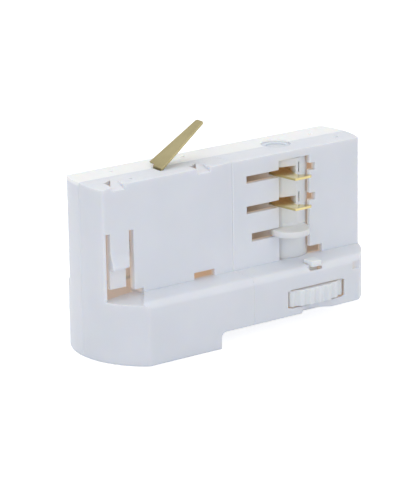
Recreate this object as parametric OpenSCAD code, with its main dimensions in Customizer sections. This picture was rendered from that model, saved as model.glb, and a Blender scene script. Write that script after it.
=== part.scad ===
// Track light adapter.
// An upright slab goes up into the track, and a wider base stays below it.
// A rotor with contact blades turns out of the slab when its thumb wheel is
// pushed round, and a wiring room at the other end takes the lamp's stem.
// X runs along the track, -Y is the front, Z is up, and Z = 0 is the ledge
// that the underside of the track rests on. All sizes are in millimetres.

/* [Body] */
// Length of the body along the track
body_l = 81.4; // [81:0.2:84]
// Thickness of the slab that goes up into the track
slab_t = 15.8; // [15.6:0.1:16.4]
// Height of the slab above the ledge
slab_h = 28; // [27.8:0.2:29]
// Width of the base below the track
base_w = 33.1; // [32.6:0.1:34]
// Depth of the base at the wiring end
deep_h = 16; // [15.6:0.2:18]
// Depth of the base at the rotor end
mid_h = 11.85; // [11.8:0.05:12.4]
// Radius of the rounded ends, seen from above
end_r = 20.3; // [20:0.1:22]
// Place of the step between the deep and the shallow base
step_x = -10.8; // [-13:0.2:-9]
// Radius in the inner corner of that step
step_r = 1.4; // [1:0.1:2.2]
// Place of the seam between wiring cover and rotor housing
cover_x = -0.7; // [-0.9:0.1:-0.5]
// Corner radius of the base, seen from above
base_corner_r = 2.3; // [1.8:0.1:2.8]
// Corner radius of the slab, seen from above
slab_corner_r = 0.8; // [0.6:0.1:1]
// Radius on the long edges of the ledge
ledge_r = 2; // [1.4:0.1:2]

/* [Walls and clearances] */
// Wall of the slab
slab_wall = 1.7; // [1.6:0.05:1.8]
// Side wall of the base
base_wall = 1.6; // [1.5:0.05:1.7]
// Wall of the rounded ends
end_wall = 1.8; // [1.6:0.1:2]
// Top wall of the slab
top_wall = 1.7; // [1.6:0.05:1.8]
// Floor of the base
floor_t = 1.6; // [1.5:0.05:1.7]
// Thickness of the ledge
ledge_t = 1.6; // [1.5:0.05:1.7]
// Partition between the wiring room and the rotor room
part_t = 1.6; // [1.5:0.05:1.7]
// Open seam left between the mouldings
seam = 0.1; // [0.06:0.02:0.16]
// Radial clearance of a turning pivot in its bore
pivot_gap = 0.1; // [0.06:0.02:0.1]
// Free space around what moves past a fixed piece
move_gap = 0.4; // [0.3:0.05:0.5]
// Clearance of a piece that is fitted and stays put
fit_gap = 0.08; // [0.05:0.01:0.1]

/* [Rotor] */
// Place of the rotor's axis along the body
rotor_x = 18.7; // [18.6:0.1:19]
// Radius of the drum
drum_r = 7.8; // [7.7:0.05:7.8]
// Radius of the drum's pivot in the top wall
top_pivot_r = 3.7; // [3.5:0.1:4.2]
// How far the top pivot stays below the top face
top_pivot_sink = 0.3; // [0.2:0.1:0.5]
// Radius of the shaft between the drum and the wheel
shaft_r = 5; // [4.9:0.1:5.2]
// Width of the square drive that carries the wheel
drive_w = 6.8; // [6.4:0.1:6.8]
// Reach of the contact blades from the axis
blade_reach = 14.3; // [14:0.05:14.3]
// Thickness of a contact blade
blade_t = 0.6; // [0.5:0.1:0.7]
// Outer edge of a blade's arm, from the axis
blade_left = 5.9; // [5.6:0.1:5.9]
// How far that edge leans in towards the blade's tip
blade_lean = 1.15; // [1.1:0.05:1.4]
// Width of a blade's arm beside the drum
blade_arm = 5.3; // [5:0.1:5.4]
// How far a blade's toe reaches past the axis
blade_toe = 0.85; // [0.6:0.05:1]
// Width of the toe
toe_w = 1.4; // [1.2:0.1:1.6]
// Depth of the upper blades below the top face
blade_hi_drop = 5.6; // [5.5:0.1:5.7]
// Depth of the lower blades below the top face
blade_lo_drop = 13.4; // [13.3:0.1:13.5]
// Radius of a locking lobe
lobe_r = 5; // [4.8:0.1:5]
// Reach of the lobe's centre from the axis
lobe_reach = 8.5; // [8.3:0.1:8.6]
// Sideways place of the lobe's centre
lobe_side = 2.1; // [2:0.1:2.4]
// Thickness of a lobe
lobe_t = 1.5; // [1.4:0.1:1.6]
// Height of the lobes above the ledge
lobe_z = 7.65; // [7.6:0.05:7.7]

/* [Rotor window] */
// Window edge on the side that the blades swing to
win_left = 5.1; // [5:0.1:5.3]
// Window edge on the other side
win_right = 4.65; // [4.5:0.05:4.7]
// Depth of the window's top below the top face
win_drop = 2; // [1.9:0.05:2.2]
// Sink of the rotor room's floor below the ledge
room_sink = 0.6; // [0.5:0.05:0.7]
// Length of the blade slots from the axis
slot_reach = 15.1; // [14.8:0.1:15.3]
// Length of the lobe slot from the axis
lobe_slot_reach = 13.6; // [13.5:0.1:14.2]
// Height of a blade slot
slot_h = 1.95; // [1.9:0.05:2]
// Height of the lobe slot
lobe_slot_h = 2.15; // [2.1:0.05:2.3]
// Rise of the blade slot's middle above the blade
slot_rise = 0.3; // [0.2:0.05:0.3]

/* [Thumb wheel] */
// Radius of the wheel
wheel_r = 18; // [17.8:0.05:18.1]
// Thickness of the wheel
wheel_t = 4.1; // [3.9:0.1:4.1]
// Middle of the wheel below the ledge
wheel_z = -7.55; // [-7.6:0.05:-7.5]
// Number of grip grooves around the wheel
groove_n = 40; // [36:1:42]
// Radius of a grip groove
groove_r = 1.3; // [1:0.05:1.4]
// Depth of a grip groove
groove_d = 0.4; // [0.3:0.05:0.5]
// Turn of the first groove from the front, in degrees
groove_turn = -2.6; // [-4:0.1:4]
// Half length of the wheel window
wheel_win = 9; // [8.8:0.1:9.2]
// Height of the wheel window
wheel_win_h = 4.35; // [4.3:0.05:4.4]
// Radius of the wheel's bottom pivot
low_pivot_r = 3; // [2.8:0.1:3.2]

/* [Interlock tab] */
// Width of the tab
tab_w = 3; // [2.8:0.1:3.2]
// Middle of the tab from the rotor's axis
tab_side = 0.3; // [0.2:0.1:0.4]
// Depth of the tab from front to back
tab_d = 3.6; // [3.4:0.1:3.8]
// Height of the tab above the ledge when free
tab_up = 1; // [0.9:0.05:1]
// Depth of the tab's block below the ledge
tab_down = 0.5; // [0.45:0.05:0.6]
// Travel of the tab when the track presses it
tab_travel = 0.6; // [0.4:0.05:0.7]

/* [Earth spring] */
// Place where the leaf leaves the top face
leaf_x = -18.3; // [-18.4:0.1:-18.1]
// Length of the free leaf
leaf_l = 16.6; // [15:0.1:17]
// Rise of the free leaf in degrees
leaf_rise = 34; // [33:0.5:37]
// Thickness of the leaf
leaf_t = 0.5; // [0.4:0.05:0.6]
// Width across the leaf's shoulders
leaf_wide = 6; // [5.6:0.1:6.4]
// Width at the leaf's tip
leaf_tip = 2.9; // [2.6:0.1:3.4]
// Width of the neck in the slot
leaf_neck = 3.8; // [3.6:0.1:4]
// Height of the leaf's bend above the top face
leaf_lift = 0.3; // [0.3:0.05:0.4]

/* [Wiring room] */
// Place of the stem from the rounded end
stem_in = 15.2; // [14.8:0.1:15.6]
// Bore of the stem nut, minor radius of its thread
stem_bore_r = 4.5; // [4.4:0.05:4.6]
// Width of the stem nut across its flats
nut_af = 14; // [13.6:0.1:14]
// Height of the stem nut
nut_h = 6; // [5.6:0.1:6]
// Clearance hole for the stem in the floor
stem_hole_r = 5.3; // [5.2:0.1:5.5]
// Pitch of the terminals
term_pitch = 6; // [6:0.05:6.1]
// Place of the middle terminal
term_x = -18; // [-18.1:0.1:-17.9]

/* [Hidden] */
$fn = 64;
half_l = body_l / 2;
slab_y = slab_t / 2;
base_y = base_w / 2;
room_y = slab_y - slab_wall;
room_top = slab_h - top_wall;
inner_l = half_l - end_wall;
inner_r = end_r - end_wall;
stem_x = -half_l + stem_in;
wheel_top = wheel_z + wheel_t / 2;
wheel_low = wheel_z - wheel_t / 2;
win_top = slab_h - win_drop;
room_floor = -room_sink;
blade_hi_z = slab_h - blade_hi_drop;
blade_lo_z = slab_h - blade_lo_drop;
drum_low = room_floor + room_sink * 0.4;
drum_top = win_top - move_gap * 0.4;
// Round relief in the walls around the drum
relief_r = drum_r + move_gap * 0.75;
// A shallow flat on the drum, turned a little to one side
drum_flat_d = drum_r * 0.968;
drum_flat_turn = -10.8;
drum_flat_x = drum_r * 0.05;
// The top of the base floor, where the wheel's pivot enters it
mid_floor = -mid_h + floor_t;
deep_floor = -deep_h + floor_t;
// Snap latch of the wiring cover, placed from the rounded end and the ledge
latch_l = -half_l + 3.55;
latch_r = -half_l + 9;
latch_top = slab_h * 0.58;
latch_low = slab_h * 0.075;
latch_nose = slab_wall * 0.75;
nose_top = slab_h * 0.4;
nose_low = slab_h * 0.257;
slit_w = slab_wall * 0.78;
latch_in = slab_wall * 0.5;
// How far the opening under the latch runs on beside it, and its height there
latch_run = 4;
latch_run_h = latch_low * 0.5;
// Floor behind that opening, and the rib at its end
latch_floor_z = -ledge_t * 0.4;
latch_floor_y = -room_y * 0.65;
latch_rib_y = -room_y * 0.32;
latch_rib_t = 1;
latch_rib_h = 5;
// Direction of the edge where the ledge's outer corner steps down, in degrees
scoop_turn = -125;
// Release notches in the cover's top edge
notch_at = [-half_l + 4.3, step_x - 0.4];
notch_w = 3.9;
notch_d = 1.3;
notch_run = 3.4;
// Slope of the cover's outer top corner, in degrees
corner_slope = 12;
corner_turn = -54;
// Window in the cover where slab and ledge meet
ledge_win_l = step_x - 1.9;
ledge_win_r = step_x + 4.35;
ledge_win_h = slab_h * 0.064;
// Set-back edge of the cover beside the seam
edge_w = 2.1;
edge_d = slab_wall * 0.12;
// Upright foot of a blade in the drum
foot_x = drum_r * 0.18;
foot_t = blade_t / 2;
foot_h = blade_t * 3.2;
foot_out = -drum_r * 0.9;
foot_in = -drum_r * 0.28;
// Root of a blade inside the drum
root_in = -drum_r * 0.16;
root_out = -drum_r * 0.7;
root_right = foot_x + foot_t;
// Foot and stem of the interlock tab
tab_foot_z = -ledge_t - 0.2;
tab_foot_t = ledge_t / 2;
tab_stem = base_wall + 0.3;
// Bent leaf under the tab: its far end, its bend, and its thickness
leaf_far = tab_w * 2.4;
leaf_bend = tab_w * 1.47;
leaf_thin = ledge_t * 0.16;
shelf_t = ledge_t * 0.56;
shelf_z = wheel_top + move_gap + shelf_t;
// The neck of the earth spring sits towards the front, on the cover
neck_front = -leaf_wide * 0.22 - leaf_neck / 2;
neck_back = neck_front + leaf_neck;
leaf_foot = leaf_lift * 3;
// Lines of the four contact strips: distance from the middle, and height
strip_t = 0.5;
strip_w = 3;
strip_hi_z = blade_hi_z - 3.4;
strip_lo_z = blade_lo_z - 3.5;
strip_y = 3;
strip_back_y = 4.9;
strip_gap = 0.5;
strip_room = strip_t / 2;
// Terminals
clamp_w = term_pitch * 0.7;
clamp_d = slab_t * 0.48;
clamp_low = strip_lo_z - 1.7;
clamp_h = 6.8;
clamp_mid = clamp_low + clamp_h / 2;
wire_r = 1.3;
wire_y = 1.2;
clamp_screw_r = 1.2;
clamp_screw_z = clamp_low + clamp_screw_r + 0.4;
clamp_screw_l = clamp_d / 2 + fit_gap * 2 - clamp_screw_r / 2;
clamp_head_r = clamp_screw_r * 1.25;
foot_half = clamp_w * 0.3;
strap_half = clamp_w * 0.285;
strap_t = strip_t * 1.2;
// Where the second strip starts in its clamp, clear of the clamp's screw
strip_2_in = clamp_screw_r + fit_gap * 4;
// Screws of the rotor housing, as places along X and Z
screw_end = half_l - 4.5;
screw_mid = cover_x + 3.6;
screw_at = [[screw_end, slab_h - 3.8], [screw_end, 3], [screw_mid, slab_h - 3], [screw_mid, 3.6]];
screw_r = 1.1;
screw_head_r = 1.9;
boss_r = 1.75;

white = [0.83, 0.85, 0.88];
cream = [0.87, 0.87, 0.85];
brass = [0.68, 0.60, 0.36];
steel = [0.62, 0.63, 0.65];

// A box given by its low and high corners
module span(low, high) {
    translate(low)
        cube(high - low);
}

// Flat outline with an arc at each end and square corners
module capsule_2d(half_w, reach, arc_r) {
    intersection() {
        union() {
            square([2 * (reach - arc_r), 2 * arc_r], center = true);
            for (s = [-1, 1])
                translate([s * (reach - arc_r), 0])
                    circle(r = arc_r);
        }
        square([2 * reach + 2, 2 * half_w], center = true);
    }
}

// The same outline with its four corners rounded to meet side and arc smoothly
module rounded_2d(half_w, reach, arc_r, corner_r) {
    mid_x = reach - arc_r;
    corner_y = half_w - corner_r;
    corner_x = mid_x + sqrt(pow(arc_r - corner_r, 2) - pow(corner_y, 2));
    touch_y = corner_y * arc_r / (arc_r - corner_r);
    capsule_2d(touch_y, reach, arc_r);
    square([2 * corner_x, 2 * half_w], center = true);
    for (sx = [-1, 1], sy = [-1, 1])
        translate([sx * corner_x, sy * corner_y])
            circle(r = corner_r);
}

// Base seen along X, with its two upper edges rounded
module base_section_2d() {
    translate([-base_y, -deep_h])
        square([base_w, deep_h - ledge_r]);
    translate([-base_y + ledge_r, -deep_h])
        square([base_w - 2 * ledge_r, deep_h]);
    for (s = [-1, 1])
        translate([s * (base_y - ledge_r), -ledge_r])
            circle(r = ledge_r);
}

// What is missing under the shallow end of the base, seen along Y
module step_2d() {
    difference() {
        translate([step_x, -deep_h - 1])
            square([body_l, deep_h + 1 - mid_h]);
        difference() {
            translate([step_x, -mid_h - step_r])
                square(step_r);
            translate([step_x + step_r, -mid_h - step_r])
                circle(r = step_r);
        }
    }
}

// Sends a flat shape drawn in X and Z along Y, from y0 to y1
module along_y(y0, y1) {
    translate([0, y1, 0])
        rotate([90, 0, 0])
            linear_extrude(y1 - y0)
                children();
}

// Sends a flat shape drawn in Y and Z along X, from x0 to x1
module along_x(x0, x1) {
    translate([x0, 0, 0])
        rotate([90, 0, 90])
            linear_extrude(x1 - x0)
                children();
}

module body_solid() {
    difference() {
        intersection() {
            translate([0, 0, -deep_h])
                linear_extrude(deep_h)
                    rounded_2d(base_y, half_l, end_r, base_corner_r);
            along_x(-half_l - 1, half_l + 1)
                base_section_2d();
        }
        along_y(-base_y - 1, base_y + 1)
            step_2d();
    }
    translate([0, 0, -ledge_t / 2])
        linear_extrude(slab_h + ledge_t / 2)
            rounded_2d(slab_y, half_l, end_r, slab_corner_r);
}

// Room for the terminals and the stem nut
module wiring_room() {
    intersection() {
        union() {
            translate([0, 0, -2 * ledge_t])
                linear_extrude(room_top + 2 * ledge_t)
                    capsule_2d(room_y, inner_l, inner_r);
            translate([0, 0, mid_floor])
                linear_extrude(-mid_floor - ledge_t)
                    capsule_2d(base_y - base_wall, inner_l, inner_r);
            intersection() {
                translate([0, 0, deep_floor])
                    linear_extrude(-deep_floor - ledge_t)
                        capsule_2d(base_y - base_wall, inner_l, inner_r);
                span([-half_l, -base_y, -deep_h], [step_x - base_wall, base_y, 0]);
            }
        }
        span([-half_l, -base_y, -deep_h], [cover_x, base_y, slab_h]);
    }
}

// Room for the rotor in the slab and for the wheel in the base
module rotor_room() {
    intersection() {
        union() {
            translate([0, 0, room_floor])
                linear_extrude(room_top - room_floor)
                    capsule_2d(room_y, inner_l, inner_r);
            translate([0, 0, mid_floor])
                linear_extrude(-mid_floor - ledge_t)
                    capsule_2d(base_y - base_wall, inner_l, inner_r);
        }
        span([cover_x + part_t, -base_y, -deep_h], [half_l, base_y, slab_h]);
    }
    translate([rotor_x, 0, wheel_low - move_gap])
        cylinder(r = wheel_r + move_gap, h = wheel_t + 2 * move_gap);
    // The drum stands in a round relief that goes down into the ledge
    translate([rotor_x, 0, room_floor])
        cylinder(r = relief_r, h = win_top - room_floor);
}

// Openings in one side of the slab, drawn about the rotor's axis for the front.
// lobe_right is how far the lobe slot runs on the window's other side
module window_cuts(lobe_right) {
    y0 = -slab_y - 1;
    y1 = -room_y + 0.5;
    span([-win_left, y0, 0], [win_right, y1, win_top]);
    for (z = [blade_hi_z, blade_lo_z]) {
        mid = z + slot_rise;
        span([-slot_reach, y0, mid - slot_h / 2], [0, y1, mid + slot_h / 2]);
        span([0, y0, z - slot_h / 4], [win_right + slot_h * 0.9, y1, z + slot_h * 0.75]);
    }
    span([-lobe_slot_reach, y0, lobe_z - lobe_slot_h / 2],
         [0, y1, lobe_z + lobe_slot_h / 2]);
    span([0, y0, lobe_z - lobe_slot_h / 2], [lobe_right, y1, lobe_z + lobe_slot_h * 0.6]);
    span([0, y0, 0], [win_right + 3.9, y1, 2.1]);
}

// Opening in one side of the base for the rim of the wheel
module wheel_window() {
    span([-wheel_win, -base_y - 1, wheel_z - wheel_win_h / 2],
         [wheel_win, -base_y + base_wall + 0.5, wheel_z + wheel_win_h / 2]);
}

// Bores that the rotor turns in, and the openings of both sides
module rotor_cuts() {
    translate([rotor_x, 0, 0]) {
        translate([0, 0, room_top - 1])
            cylinder(r = top_pivot_r + pivot_gap, h = top_wall + 2);
        translate([0, 0, -ledge_t - 1])
            cylinder(r = shaft_r + move_gap, h = ledge_t + 1);
        translate([0, 0, -mid_h - 1])
            cylinder(r = low_pivot_r + pivot_gap, h = floor_t + 2);
        window_cuts(win_right);
        // At the back the lobe slot runs both ways, for the front lobe turned in
        rotate(180)
            window_cuts(lobe_slot_reach);
        for (turn = [0, 180])
            rotate(turn)
                wheel_window();
    }
}

// Slot in the top face for the earth spring, shared by cover and rear housing
module leaf_slot() {
    span([leaf_x - leaf_t / 2 - 0.55, neck_front - 0.15, room_top - 1],
         [leaf_x + leaf_t / 2 + 0.3, neck_back + 0.15, slab_h + 1]);
}

// Small round marks in the top face
module top_marks() {
    for (p = [[-28.6, 4], [-6.8, 4.6], [32, 3.1], [-28.7, -4.6], [35.3, -3.6]])
        translate([p[0], p[1], slab_h - 0.35])
            cylinder(r = 0.55, h = 1);
}

// Passages for the contact strips through the partition
module strip_passages() {
    for (p = [[-strip_y, strip_hi_z], [strip_y, strip_hi_z],
              [-strip_y, strip_lo_z], [strip_back_y, strip_lo_z]])
        span([cover_x - 1, p[0] - strip_t / 2 - strip_room, p[1] - strip_w / 2 - strip_room],
             [cover_x + part_t + 1, p[0] + strip_t / 2 + strip_room, p[1] + strip_w / 2 + strip_room]);
}

// Seat that keeps the stem nut from turning
module nut_seat() {
    difference() {
        translate([stem_x, 0, deep_floor - 0.5])
            cylinder(r = nut_af / 2 + 2.8, h = nut_h - 0.5);
        translate([stem_x, 0, deep_floor])
            cylinder(d = (nut_af + 0.3) / cos(30), h = nut_h, $fn = 6);
    }
}

module stem_hole() {
    translate([stem_x, 0, -deep_h - 1])
        cylinder(r = stem_hole_r, h = floor_t + 1.5);
}

// Round posts for the housing screws, from the seam to the wall
module screw_posts(y0, y1) {
    for (p = screw_at)
        translate([p[0], y1, p[1]])
            rotate([90, 0, 0])
                cylinder(r = boss_r, h = y1 - y0);
}

module screw_holes(r, y0, y1) {
    for (p = screw_at)
        translate([p[0], y1, p[1]])
            rotate([90, 0, 0])
                cylinder(r = r, h = y1 - y0);
}

// Everything that is hollow or open in the whole body
module body_openings() {
    wiring_room();
    rotor_room();
    rotor_cuts();
    leaf_slot();
    top_marks();
    strip_passages();
}

module rear_housing() {
    color(white)
        difference() {
            union() {
                difference() {
                    intersection() {
                        body_solid();
                        span([-half_l - 1, seam / 2, -deep_h - 1],
                             [half_l + 1, base_y + 1, slab_h + 1]);
                    }
                    body_openings();
                }
                screw_posts(seam / 2, room_y + 0.2);
                intersection() {
                    nut_seat();
                    span([-half_l, seam / 2, -deep_h], [0, base_y, 0]);
                }
            }
            stem_hole();
            screw_holes(screw_r + 0.15, -1, slab_y);
            screw_holes(screw_head_r + 0.15, slab_y - 1.5, slab_y + 1);
        }
}

module front_housing() {
    color(white)
        difference() {
            union() {
                difference() {
                    intersection() {
                        body_solid();
                        span([cover_x + seam / 2, -base_y - 1, -deep_h - 1],
                             [half_l + 1, -seam / 2, slab_h + 1]);
                    }
                    body_openings();
                }
                screw_posts(-room_y - 0.2, -seam / 2);
                tab_shelf();
            }
            screw_holes(screw_r + fit_gap, -5, 1);
            tab_notch();
            finger_notch();
            end_pocket();
        }
}

// Shelf behind the front wall that the tab's spring lies on
module tab_shelf() {
    x = rotor_x + tab_side;
    span([x - leaf_far - 0.2, -base_y + base_wall - 0.3, wheel_top + move_gap],
         [x - leaf_bend + 0.2, -base_y + base_wall + tab_d, shelf_z]);
}

// Notch in the front edge of the ledge for the interlock tab
module tab_notch() {
    x = rotor_x + tab_side;
    low = -tab_down - tab_travel - 0.25;
    // Its left side leans out, so the tab can be seen and levered
    along_y(-base_y - 1, -base_y + 1)
        polygon([[x - tab_w / 2 - 0.6, low], [x + tab_w / 2 + 0.25, low],
                 [x + tab_w / 2 + 0.25, 2], [x - tab_w / 2 - 3, 2]]);
    span([x - tab_w / 2 - 0.25, -base_y + 0.5, -ledge_t - 0.5],
         [x + tab_w / 2 + 0.25, -base_y + tab_d + 0.4, 2]);
}

// Shallow notch in the bottom front edge under the wheel, steep on one side
module finger_notch() {
    half = wheel_win * 0.53;
    deep = floor_t * 0.7;
    translate([rotor_x, 0, -mid_h])
        along_y(-base_y - 1, -base_y + base_wall)
            polygon([[-half, -1], [-half, 0], [-half * 0.82, deep], [-half * 0.5, deep],
                     [half, 0], [half, -1]]);
}

// Small pocket at the front corner of the base
module end_pocket() {
    span([half_l - 10.4, -base_y - 1, -3.4], [half_l, -base_y + base_wall * 0.5, -1.4]);
}

// Snap latch: a tongue cut free in the cover's front wall, with a nose on it
module latch_cuts() {
    y0 = -slab_y - 2;
    y1 = -room_y + 0.5;
    span([latch_l - slit_w, y0, 0], [latch_l, y1, latch_top]);
    span([latch_r, y0, latch_low - 1], [latch_r + slit_w, y1, latch_top]);
    span([latch_r - latch_in, y0, latch_low - 1], [latch_r + slit_w, y1, nose_low - 0.3]);
    span([latch_l - slit_w, y0, 0], [latch_r + slit_w, y1, latch_low]);
    // The outer corner of the ledge is a step lower, and so is the opening's floor
    intersection() {
        translate([latch_r + latch_run, -slab_y, latch_floor_z])
            rotate(scoop_turn)
                translate([-half_l, -half_l, 0])
                    cube([body_l, half_l, ledge_t * 2]);
        span([-half_l - 1, -base_y - 1, -ledge_t], [latch_r + latch_run, -slab_y, ledge_t / 3]);
    }
    span([latch_l - slit_w, -slab_y - 0.1, latch_floor_z], [latch_r + latch_run, y1, latch_run_h]);
}

// Floor seen through the opening under the latch, and the rib that ends it
module latch_floor() {
    x1 = latch_r + latch_run;
    y0 = -room_y - 0.3;
    translate([0, 0, -ledge_t])
        linear_extrude(ledge_t + latch_floor_z)
            polygon([[latch_l, y0], [x1 + 0.2, y0], [x1 + 0.2, latch_floor_y], [latch_l, y0 + 0.4]]);
    span([x1, y0, -ledge_t], [x1 + latch_rib_t, latch_rib_y, latch_rib_h]);
}

module latch_nose_solid() {
    intersection() {
        along_x(latch_l, latch_r - latch_in / 2)
            polygon([[-slab_y + 0.6, nose_top], [-slab_y, nose_top],
                     [-slab_y - latch_nose, nose_low + 0.7], [-slab_y - latch_nose, nose_low],
                     [-slab_y + 0.6, nose_low]]);
        // Seen from above, the nose falls away on one side
        linear_extrude(slab_h)
            polygon([[latch_l, -slab_y + 1], [latch_l, -slab_y - latch_nose],
                     [latch_l + 2.2, -slab_y - latch_nose],
                     [latch_r, -slab_y - latch_nose * 0.3], [latch_r, -slab_y + 1]]);
    }
}

// Release notches in the cover's top edge: a ramp and a small hole behind it
module top_notches() {
    for (x = notch_at) {
        translate([x, -slab_y, room_top - 1])
            linear_extrude(top_wall + 2)
                polygon([[0.3, 1], [3, 5.1], [-0.1, 3.6]]);
        along_x(x, x + notch_w)
            polygon([[-slab_y - 1, slab_h - notch_d], [-slab_y, slab_h - notch_d],
                     [-slab_y + notch_run, slab_h], [-slab_y + notch_run, slab_h + 1],
                     [-slab_y - 1, slab_h + 1]]);
    }
    // The outer corner of the top slopes down from the seam to the first notch
    intersection() {
        translate([-half_l, 0, slab_h])
            rotate(corner_turn)
                rotate([corner_slope, 0, 0])
                    translate([-half_l, -half_l, 0])
                        cube([body_l, half_l, top_wall * 3]);
        span([-half_l - 1, -slab_y - 1, slab_h - top_wall], [notch_at[0], 0, slab_h + 1]);
    }
}

// The cover's edge beside the seam is set back a little
module seam_edge() {
    span([cover_x - edge_w, -slab_y - 1, 0], [cover_x, -slab_y + edge_d, slab_h + 1]);
}

// Window in the cover where slab and ledge meet
module ledge_window() {
    span([ledge_win_l, -slab_y - 1, 0], [ledge_win_r, -room_y + 0.5, ledge_win_h]);
}

module wiring_cover() {
    color(white)
        difference() {
            union() {
                difference() {
                    intersection() {
                        body_solid();
                        span([-half_l - 1, -base_y - 1, -deep_h - 1],
                             [cover_x - seam / 2, -seam / 2, slab_h + 1]);
                    }
                    body_openings();
                    latch_cuts();
                    span([latch_l, -slab_y - 1, latch_low - 1],
                         [latch_r, -slab_y + slab_wall * 0.35, nose_low]);
                    top_notches();
                    ledge_window();
                    seam_edge();
                }
                latch_nose_solid();
                latch_floor();
                intersection() {
                    nut_seat();
                    span([-half_l, -base_y, -deep_h], [0, -seam / 2, 0]);
                }
            }
            stem_hole();
        }
}

// Pocket for one blade in the drum, drawn for the front
module blade_pocket(z) {
    top = z + blade_t / 2;
    low = z - blade_t / 2 - fit_gap;
    span([-blade_left - fit_gap, -drum_r - 1, low],
         [drum_flat_x, root_in + fit_gap, top + fit_gap]);
    span([0, root_out - fit_gap, low], [root_right + fit_gap, root_in + fit_gap, top + fit_gap]);
    // Free space above the arm, so that it can spring
    span([-blade_left - fit_gap, -drum_r - 1, low], [drum_flat_x, -drum_r * 0.4, top + blade_t * 2]);
    // Slit for the upright foot
    span([foot_x - foot_t / 2 - fit_gap, -drum_r - 1, low],
         [foot_x + foot_t / 2 + fit_gap, foot_in + fit_gap, top + foot_h + fit_gap]);
}

// Flat on the drum above the lobe, drawn for the front
module drum_flat() {
    rotate(drum_flat_turn)
        span([-drum_r, -drum_r - 1, lobe_z + lobe_t], [drum_r, -drum_flat_d, drum_top + 1]);
}

module lobe() {
    translate([-lobe_side, -lobe_reach, lobe_z - lobe_t / 2])
        cylinder(r = lobe_r, h = lobe_t);
}

module rotor_drum() {
    color(cream)
        translate([rotor_x, 0, 0])
            difference() {
                union() {
                    translate([0, 0, drum_low])
                        cylinder(r = drum_r, h = drum_top - drum_low);
                    translate([0, 0, drum_top - 1])
                        cylinder(r = top_pivot_r, h = slab_h - top_pivot_sink - drum_top + 1);
                    translate([0, 0, wheel_top])
                        cylinder(r = shaft_r, h = drum_low - wheel_top + 1);
                    translate([-drive_w / 2, -drive_w / 2, wheel_low + 1.2])
                        cube([drive_w, drive_w, wheel_t]);
                    lobe();
                    mirror([0, 1, 0])
                        lobe();
                }
                for (turn = [0, 180])
                    rotate(turn) {
                        for (z = [blade_hi_z, blade_lo_z])
                            blade_pocket(z);
                        drum_flat();
                    }
                // Shallow dish in the top pivot
                translate([0, 0, slab_h - top_pivot_sink - 0.4])
                    cylinder(r = top_pivot_r - 1.1, h = 1);
            }
}

// Flat outline of a blade: a root in the drum, an arm, and a toe at its end
module blade_2d() {
    arm_right = -blade_left + blade_arm;
    neck_x = -blade_left * 0.34;
    neck_y = -blade_reach * 0.77;
    tip_x = -blade_left + blade_lean;
    toe_y = -blade_reach + 0.15;
    // Root, with the place that the foot stands on
    translate([-blade_left + blade_lean, root_out])
        square([root_right + blade_left - blade_lean, root_in - root_out]);
    // Arm
    polygon([[-blade_left * 0.95, root_out + 1], [-blade_left, -drum_r * 0.88], [tip_x, -blade_reach],
             [neck_x, toe_y], [neck_x, neck_y], [arm_right, -drum_r * 0.95], [arm_right, root_out + 1]]);
    // Toe, with its end cut back towards the drum
    polygon([[tip_x, -blade_reach], [blade_toe - toe_w * 0.4, toe_y], [blade_toe, toe_y + toe_w * 0.4],
             [blade_toe - toe_w * 0.4, toe_y + toe_w], [neck_x, neck_y]]);
}

// Contact blade: a flat reach out of the drum and an upright foot in its slit
module blade(z, turn) {
    color(brass)
        translate([rotor_x, 0, 0])
            rotate(turn) {
                translate([0, 0, z - blade_t / 2])
                    linear_extrude(blade_t)
                        blade_2d();
                span([foot_x - foot_t / 2, foot_out, z],
                     [foot_x + foot_t / 2, foot_in, z + blade_t / 2 + foot_h]);
            }
}

module blade_front_upper() {
    blade(blade_hi_z, 0);
}

module blade_front_lower() {
    blade(blade_lo_z, 0);
}

module blade_rear_upper() {
    blade(blade_hi_z, 180);
}

module blade_rear_lower() {
    blade(blade_lo_z, 180);
}

// Ribbed wheel on the drum's square drive, with its own pivot in the floor
module thumb_wheel() {
    hub_r = 7.5;
    rim_w = 3;
    color(cream)
        translate([rotor_x, 0, 0])
            difference() {
                union() {
                    translate([0, 0, wheel_low])
                        cylinder(r = wheel_r, h = wheel_t);
                    translate([0, 0, -mid_h + 0.2])
                        cylinder(r = low_pivot_r, h = wheel_low + mid_h);
                    translate([0, 0, mid_floor + 0.3])
                        cylinder(r = low_pivot_r + 1.5, h = wheel_low - mid_floor);
                }
                for (z = [wheel_low - 1, wheel_top - 1.2])
                    translate([0, 0, z])
                        difference() {
                            cylinder(r = wheel_r - rim_w, h = 2.2);
                            cylinder(r = hub_r, h = 2.2);
                        }
                for (i = [0 : groove_n - 1])
                    rotate(-90 + groove_turn + i * 360 / groove_n)
                        translate([wheel_r + groove_r - groove_d, 0, wheel_low - 1])
                            cylinder(r = groove_r, h = wheel_t + 2, $fn = 24);
                translate([-drive_w / 2 - fit_gap, -drive_w / 2 - fit_gap, wheel_low + 1.1])
                    cube([drive_w + 2 * fit_gap, drive_w + 2 * fit_gap, wheel_t]);
            }
}

// Tab that the track pushes down, with a stem and a foot below the ledge
module interlock_tab() {
    x = rotor_x + tab_side;
    front = -base_y + 0.1;
    low = tab_foot_z - tab_foot_t;
    color(cream) {
        span([x - tab_w / 2, front, -tab_down], [x + tab_w / 2, front + tab_d, tab_up]);
        span([x - tab_w / 2, front + tab_stem, low], [x + tab_w / 2, front + tab_d, tab_up / 2]);
        span([x - tab_w / 2 - tab_foot_t, front + tab_stem, low],
             [x + tab_w / 2 + tab_foot_t, front + tab_d, tab_foot_z]);
    }
}

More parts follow.
